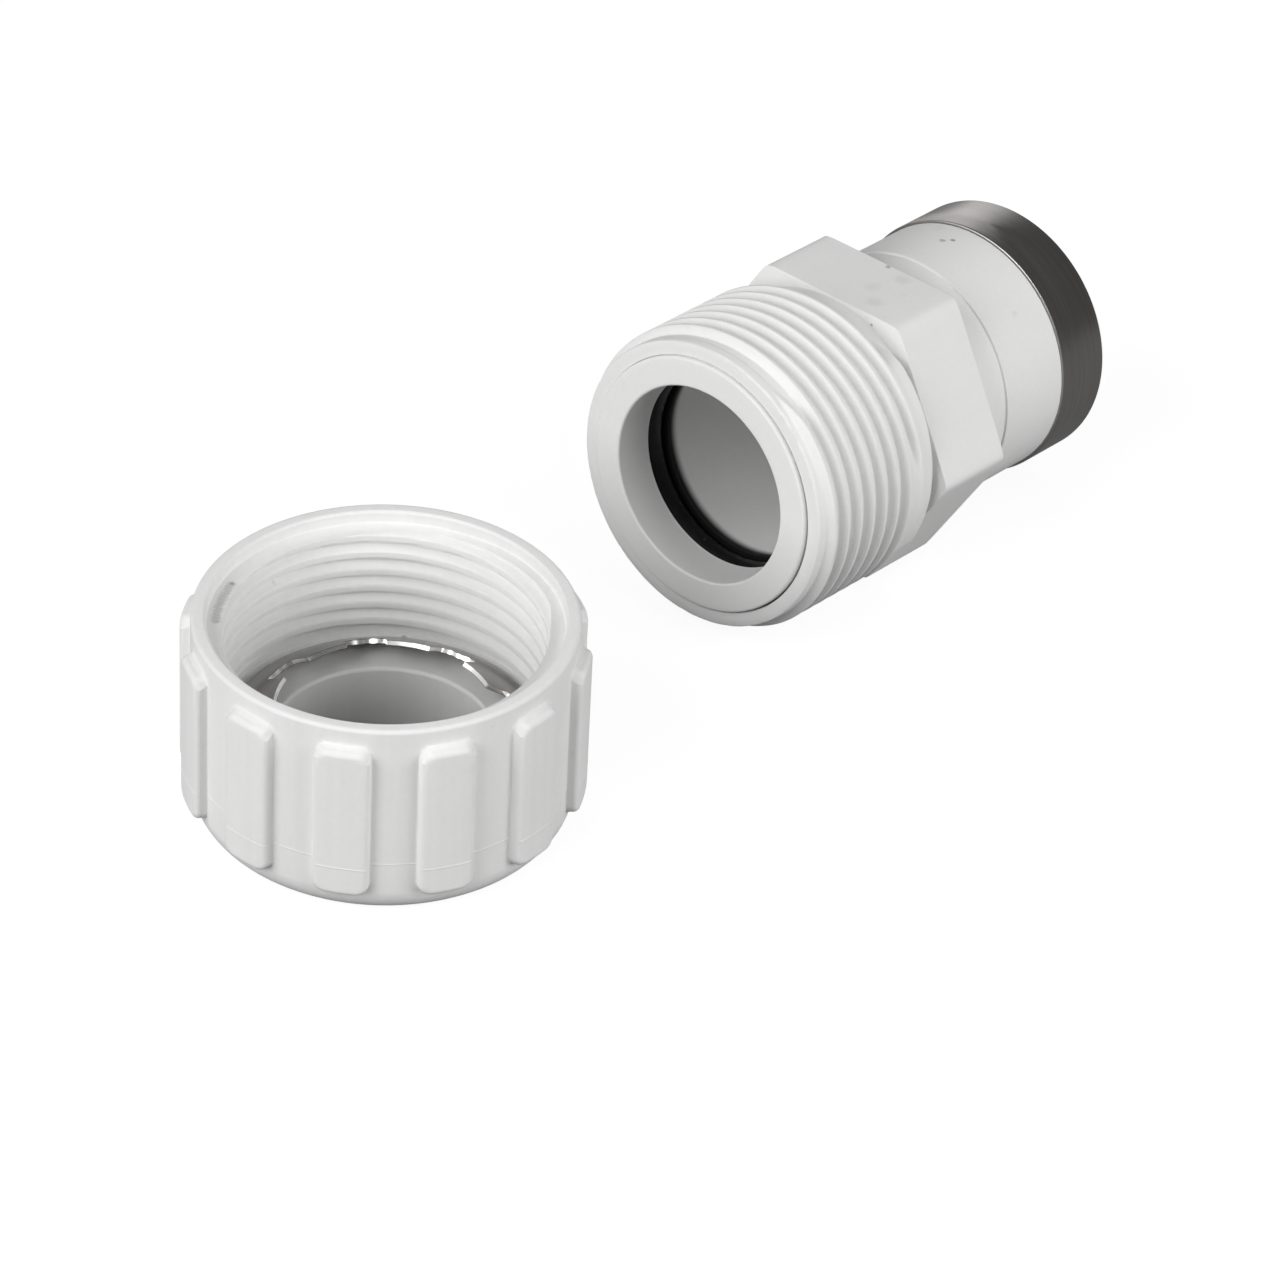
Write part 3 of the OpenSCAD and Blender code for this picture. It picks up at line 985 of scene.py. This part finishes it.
def nut_thread_rows(nut, first):
    """Rows of the nut's thread, from the seat up to the plain mouth."""
    shift = nut.thread_turn / tau - nut.rib_turn / tau - first
    lead = nut.pitch * nut.starts
    whole = ceil((nut.thread_height - nut.thread_low) / lead)
    start = nut.thread_height - whole * lead
    ridge = helix(nut.pitch, nut.starts, start, shift % 1.0, whole + 0.25, nut.crest_flat,
                  nut.pitch - nut.groove_flat, nut.fade)

    def inside(turn, height):
        return nut.major_r - (nut.major_r - nut.minor_r) * ridge(turn, height)
    return threaded(inside, SEAT_Z + 0.1 * MM, NUT_H - nut.mouth_len - 0.1 * MM, lead,
                    NUT_THREAD_STEPS * nut.starts)


def nut_rows(nut, side, top_end, foot_end, first):
    """Rows of the coupling nut, from its foot up the outside and down through its thread."""
    top = NUT_H - nut.rib_top
    wall = nut_wall(nut)
    ribbed = ribbed_rule(nut, side, top_end, foot_end, first)
    foot = nut.foot_round
    rows = levels([(HOLE_R + 2 * MM, 0), (wall - foot - 1 * MM, 0)])
    rows += levels([(wall - foot + foot * sin(a), foot - foot * cos(a))
                    for a in spread(0, pi / 2, 12)])
    heights = [nut.rib_foot + inside for inside, _ in foot_end]
    heights += [nut.rib_foot + place * MM for place in (0.9, 1.2, 1.5)]
    heights += [nut.seam_height + step * 0.1 * MM for step in range(-2, 3)]
    insides = [inside for inside, _ in top_end] + [1.65 * MM]
    heights += spread(11 * MM, top - insides[-1], 5)
    heights += [top - inside for inside in reversed(insides)]
    rows += [level(ribbed, height) for height in heights]
    rim = nut.rim_round
    rows += levels(rounded([
        (wall, top + 0.4 * MM, 0), (wall, NUT_H, rim * 0.9),
        (nut.mouth_r, NUT_H, 0.3 * MM),
        (nut.mouth_r - rim / 2, NUT_H - rim / 2, 0.15 * MM),
        (nut.mouth_r - rim / 2, NUT_H - nut.mouth_len + rim / 2, 0.2 * MM),
        (nut.major_r, NUT_H - nut.mouth_len, 0)], 5))
    rows += nut_thread_rows(nut, first)[::-1]
    rows += levels(rounded([
        (nut.major_r, SEAT_Z, 0), (HOLE_R, SEAT_Z, nut.hole_round),
        (HOLE_R, 0, nut.hole_round), (HOLE_R + 1.9 * MM, 0, 0)], 5))
    return rows


class ADAPTER_OT_nut(Operator):
    """Builds the coupling nut with its ribs and its helical thread."""
    bl_idname = "adapter.nut"
    bl_label = "Coupling nut"

    def execute(self, context):
        nut = settings().nut
        finish = settings().finish
        side, top_end, foot_end = rib_edges(nut)
        turns, first = nut_turns(nut, side)
        place = Matrix.Translation(NUT_CENTRE) @ Matrix.Rotation(nut.rib_turn + first * tau, 4, "Z")
        rows = nut_rows(nut, side, top_end, foot_end, first)
        piece = turned("nut_moulding", rows, turns, place)
        middle = (nut.major_r + nut.minor_r) / 2
        ledge = nut.major_r - 0.1 * MM
        specks_seen = [
            (43.3, middle, -6, 0.6, 0.6), (85.5, middle, -6, 0.6, 0.6),
            (50, middle, -11.5, 0.55, 0.4), (36, middle, -18, 0.55, 0.6),
            (108.5, ledge, -2.1, 0.6, 0.7)]
        scuff = [(109 + 1.8 * i, ledge, -2.2, 0.85, 0.38) for i in range(13)]
        rim = place.inverted() @ Matrix.Translation(NUT_CENTRE + Vector((0, 0, NUT_H)))
        material = plastic("Nut plastic", place, finish.nut, finish.plastic_rough, finish.dirt,
                           placed_marks(specks_seen + scuff, rim), streaks=0.06)
        seat_piece(piece, "coupling_nut", material)
        return {"FINISHED"}


def grip_rows(grip):
    """Rows of the grip ring: out along the upper face of its sheet and back along the lower."""
    period = tau / grip.teeth
    across = grip.sheet / cos(grip.slope)
    tooth_half = (period - grip.notch) / 2
    top = (RING_R - grip.tooth_r) * tan(grip.slope)

    def tip(turn):
        off = abs((turn * tau - grip.tooth_turn + period / 2) % period - period / 2)
        open_share = smooth((off - tooth_half) / grip.gap_edge + 0.5)
        wavy = noise.noise(on_turn(tau * turn, 11, 0)) * grip.gap_wave * open_share
        return grip.tooth_r + (grip.notch_depth + wavy) * open_share

    def sheet_row(share, over):
        def row(turn):
            inner = tip(turn) + grip.cut_lean * over
            radius = RING_R + (inner - RING_R) * share
            height = (RING_R - radius) * tan(grip.slope)
            bump = max(0.0, noise.noise(on_turn(tau * turn, 9, 27)))
            torn = smooth((share - 0.9) / 0.1) * bump * grip.burr
            return radius, min(height, top) + over * across + torn * (over - 0.5)
        return row

    outward = [1, 0.992, 0.97, 0.93, 0.85, 0.7, 0.5, 0.3, 0.12, 0.03, 0]
    upper = [sheet_row(share, 1.0) for share in outward]
    rim = [sheet_row(0, over) for over in (0.85, 0.15)]
    lower = [sheet_row(share, 0.0) for share in outward[::-1]]
    tips = [sheet_row(1, over) for over in (0.12, 0.5, 0.88)]
    return upper + rim + lower + tips


class ADAPTER_OT_grip(Operator):
    """Builds the toothed grip ring in the nut."""
    bl_idname = "adapter.grip"
    bl_label = "Grip ring"

    def execute(self, context):
        grip = settings().grip
        place = Matrix.Translation(NUT_CENTRE + Vector((0, 0, SEAT_Z)))
        piece = turned("toothed_ring", grip_rows(grip), even_turns(GRIP_STEPS), place)
        # The torn edges and burrs are painted near white as a painted highlight for their glints
        edge = (RING_R, grip.slope, grip.sheet / cos(grip.slope))
        finish = settings().finish
        material = brushed("Grip steel", place, finish.grip, finish.grip_rough, fineness=900,
                           contrast=0.3, lines=0.3, cut=(cut_edge_glint, edge, finish.cut))
        seat_piece(piece, "grip_ring", material)
        return {"FINISHED"}


# Stage

def soft_light(name, place, wide, power, mirrored):
    """A square area light that faces the object, and that shiny surfaces mirror or don't."""
    lamp = bpy.data.lights.new(name, "AREA")
    lamp.shape = "SQUARE"
    lamp.size = wide
    lamp.energy = power
    light = bpy.data.objects.new(name, lamp)
    bpy.context.scene.collection.objects.link(light)
    light.visible_glossy = mirrored
    light.location = place
    light.rotation_euler = (place - LIT_POINT).to_track_quat("Z", "Y").to_euler()


def background_rays(tree, mirrored):
    """1 for camera rays and a lower share for the rays that metal and glass reflect or pass."""
    seen = add_node(tree, "ShaderNodeLightPath", {}, {}, "Is Camera Ray")
    outputs = seen.socket.node.outputs
    glossy = Wire(tree, outputs["Is Glossy Ray"])
    clear = Wire(tree, outputs["Is Transmission Ray"])
    return seen.most(glossy.most(clear) * mirrored)


def white_world(stage):
    """A world that shows white to the camera and lights the object faintly from all round."""
    world = bpy.data.worlds.new("Studio")
    world.use_nodes = True
    tree = world.node_tree
    tree.nodes.clear()
    strength = background_rays(tree, stage.mirrored).most(stage.ambient)
    inputs = {"Color": (1, 1, 1, 1), "Strength": strength}
    back = add_node(tree, "ShaderNodeBackground", {}, inputs)
    add_node(tree, "ShaderNodeOutputWorld", {}, {"Surface": back})
    return world


def floor_material(stage):
    """Pale floor that shows white to the camera and keeps the shadow."""
    material = bpy.data.materials.new("Floor")
    material.use_nodes = True
    tree = material.node_tree
    tree.nodes.clear()
    diffuse = add_node(tree, "ShaderNodeBsdfDiffuse", {}, {"Color": opaque(stage.floor)})
    strength = background_rays(tree, stage.mirrored) * stage.glow
    glow = add_node(tree, "ShaderNodeEmission", {}, {"Color": (1, 1, 1, 1), "Strength": strength})
    both = add_node(tree, "ShaderNodeAddShader", {}, {0: diffuse, 1: glow})
    add_node(tree, "ShaderNodeOutputMaterial", {}, {"Surface": both})
    return material


def laid_floor(stage):
    """A flat square floor under the object."""
    half = stage.floor_half
    corners = [(-half, -half, 0), (half, -half, 0), (half, half, 0), (-half, half, 0)]
    mesh = bpy.data.meshes.new("floor")
    mesh.from_pydata(corners, [], [(0, 1, 2, 3)])
    mesh.materials.append(floor_material(stage))
    return bpy.data.objects.new("floor", mesh)


def placed_camera(stage):
    """A camera at its distance from the seen point, turned by its three angles."""
    camera = bpy.data.objects.new("camera", bpy.data.cameras.new("camera"))
    camera.data.lens = stage.lens
    camera.data.sensor_width = 36
    camera.data.clip_start = 0.01
    flat = cos(stage.elevation)
    back = Vector((sin(stage.azimuth) * flat, -cos(stage.azimuth) * flat, sin(stage.elevation)))
    turn = (Matrix.Rotation(stage.azimuth, 3, "Z")
            @ Matrix.Rotation(pi / 2 - stage.elevation, 3, "X")
            @ Matrix.Rotation(stage.roll, 3, "Z"))
    camera.matrix_world = Matrix.Translation(SEEN_POINT + back * stage.distance) @ turn.to_4x4()
    return camera


class ADAPTER_OT_stage(Operator):
    """Sets up the floor, the soft lights, the white background and the camera."""
    bl_idname = "adapter.stage"
    bl_label = "Stage"

    def execute(self, context):
        stage = settings().stage
        scene = context.scene
        scene.view_settings.view_transform = "Standard"
        scene.world = white_world(stage)

        floor = laid_floor(stage)
        scene.collection.objects.link(floor)

        soft_light("key light", Vector((-0.95, -0.1, 0.5)), 0.7, stage.key, True)
        soft_light("back light", Vector((-0.9, 0.3, 0.6)), 1.0, stage.back, True)
        soft_light("front light", Vector((0.15, -1.0, 0.5)), 0.7, stage.front, False)
        soft_light("side light", Vector((0.6, -0.8, 0.4)), 0.7, stage.side, False)
        soft_light("rim light", Vector((0.65, 0.85, 0.3)), 0.8, stage.rim, True)

        camera = placed_camera(stage)
        scene.collection.objects.link(camera)
        scene.camera = camera
        return {"FINISHED"}


STEPS = (ADAPTER_OT_body, ADAPTER_OT_seal, ADAPTER_OT_band, ADAPTER_OT_nut, ADAPTER_OT_grip,
         ADAPTER_OT_stage)


class ADAPTER_PT_sidebar(Panel):
    """Lists the steps and the settings in the 3D view's sidebar."""
    bl_idname = "ADAPTER_PT_sidebar"
    bl_label = "Pipe adapter"
    bl_space_type = "VIEW_3D"
    bl_region_type = "UI"
    bl_category = "Adapter"

    def draw(self, context):
        for step in STEPS:
            self.layout.operator(step.bl_idname)
        for group in AdapterSettings.__annotations__:
            box = self.layout.box()
            box.label(text=group.capitalize())
            values = getattr(context.scene.adapter_settings, group)
            for name in type(values).__annotations__:
                box.prop(values, name)


CLASSES = (BodySizes, SealSizes, BandSizes, NutSizes, GripSizes, Finishes, StageSizes,
           AdapterSettings, *STEPS, ADAPTER_PT_sidebar)


def register():
    for item in CLASSES:
        bpy.utils.register_class(item)
    bpy.types.Scene.adapter_settings = PointerProperty(type=AdapterSettings)


def unregister():
    del bpy.types.Scene.adapter_settings
    for item in reversed(CLASSES):
        bpy.utils.unregister_class(item)


def main():
    register()
    bpy.ops.adapter.body()
    bpy.ops.adapter.seal()
    bpy.ops.adapter.band()
    bpy.ops.adapter.nut()
    bpy.ops.adapter.grip()
    bpy.ops.adapter.stage()


if __name__ == "__main__":
    main()
